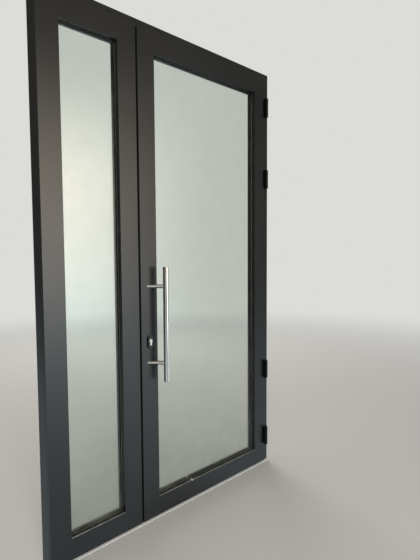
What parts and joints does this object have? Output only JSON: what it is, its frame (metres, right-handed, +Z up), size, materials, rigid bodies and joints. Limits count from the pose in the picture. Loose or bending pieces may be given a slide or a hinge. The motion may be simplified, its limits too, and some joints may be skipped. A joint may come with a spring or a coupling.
{
  "type": "glass entrance door",
  "caption": "Glazed aluminium entrance door in its frame: a hinged leaf with long pull handles, a cylinder lock and barrel hinges, beside a narrow fixed sidelight.",
  "frame": {"origin": "underside of the threshold, midway across the frame and through its depth", "axes": "+X right seen from the pull side, +Y into the door away from the pull side, +Z up"},
  "size_m": [1.55, 0.224, 2.586],
  "materials": {
    "anthracite_powder_coat": "satin anthracite powder coat on extruded aluminium",
    "mill_aluminium": "mill finish aluminium",
    "silver_anodised_aluminium": "silver anodised aluminium",
    "black_hinge_coat": "satin black powder coat",
    "black_escutcheon_coat": "satin black coat",
    "clear_glass": "clear float glass",
    "black_rubber": "black glazing rubber",
    "packer_plastic": "moulded plastic",
    "black_plastic": "moulded black plastic",
    "brushed_stainless": "fine brushed stainless steel",
    "bright_steel": "bright steel",
    "zinc_plated_steel": "zinc plated steel sheet",
    "satin_nickel": "satin nickel plated brass"
  },
  "bodies": {
    "frame": {"frame_head": "anthracite_powder_coat", "frame_left_jamb": "anthracite_powder_coat", "frame_right_jamb": "anthracite_powder_coat", "mullion": "anthracite_powder_coat", "threshold": "silver_anodised_aluminium", "frame_corner_cleat": "mill_aluminium", "overlap_seals": "black_rubber", "stop_seals": "black_rubber", "strike_plate": "zinc_plated_steel", "sidelight_left_stile": "anthracite_powder_coat", "sidelight_right_stile": "anthracite_powder_coat", "sidelight_top_rail": "anthracite_powder_coat", "sidelight_bottom_rail": "anthracite_powder_coat", "sidelight_corner_cleats": "mill_aluminium", "sidelight_outer_pane": "clear_glass", "sidelight_inner_pane": "clear_glass", "sidelight_spacer": "mill_aluminium", "sidelight_outer_gasket": "black_rubber", "sidelight_inner_gasket": "black_rubber", "sidelight_glazing_beads": "anthracite_powder_coat", "sidelight_glazing_packers": "packer_plastic", "sidelight_frame_packers": "packer_plastic", "sidelight_sill_packer": "packer_plastic", "hinge_frame_part_1": "black_hinge_coat", "hinge_frame_part_2": "black_hinge_coat", "hinge_frame_part_3": "black_hinge_coat", "hinge_frame_part_4": "black_hinge_coat", "hinge_pins": "bright_steel", "hinge_washers": "black_plastic"},
    "leaf": {"leaf_lock_stile": "anthracite_powder_coat", "leaf_hinge_stile": "anthracite_powder_coat", "leaf_top_rail": "anthracite_powder_coat", "leaf_bottom_rail": "anthracite_powder_coat", "leaf_corner_cleats": "mill_aluminium", "leaf_outer_pane": "clear_glass", "leaf_inner_pane": "clear_glass", "leaf_spacer": "mill_aluminium", "leaf_outer_gasket": "black_rubber", "leaf_inner_gasket": "black_rubber", "leaf_glazing_beads": "anthracite_powder_coat", "leaf_glazing_packers": "packer_plastic", "leaf_bottom_seal": "black_rubber", "hinge_leaf_part_1": "black_hinge_coat", "hinge_leaf_part_2": "black_hinge_coat", "hinge_leaf_part_3": "black_hinge_coat", "hinge_leaf_part_4": "black_hinge_coat", "hinge_caps": "black_plastic", "outer_pull_handle": "brushed_stainless", "inner_pull_handle": "brushed_stainless", "pull_handle_studs": "bright_steel", "outer_escutcheon": "black_escutcheon_coat", "inner_escutcheon": "black_escutcheon_coat", "cylinder_body": "satin_nickel", "lock_case": "zinc_plated_steel", "lock_faceplate": "zinc_plated_steel", "lock_screws": "bright_steel"},
    "key_plug": {"key_plugs": "satin_nickel", "cylinder_cam": "satin_nickel"},
    "deadbolt": {"deadbolt": "bright_steel"}
  },
  "joints": [
    {"name": "leaf_swing", "type": "hinge", "parent": "frame", "child": "leaf", "pos_m": [0.729, -0.0635, 1.28], "axis": [0, 0, 1], "range_deg": [0, 90]},
    {"name": "key_turn", "type": "hinge", "parent": "leaf", "child": "key_plug", "pos_m": [-0.215, -0.015, 0.975], "axis": [0, 1, 0], "range_deg": [0, 360]},
    {"name": "deadbolt_throw", "type": "slide", "parent": "leaf", "child": "deadbolt", "axis": [-1, 0, 0], "range_m": [0, 0.02]}
  ],
  "couplings": [
    {"joint": "key_turn", "follows": "deadbolt_throw", "rad_per_m": 314.16}
  ]
}
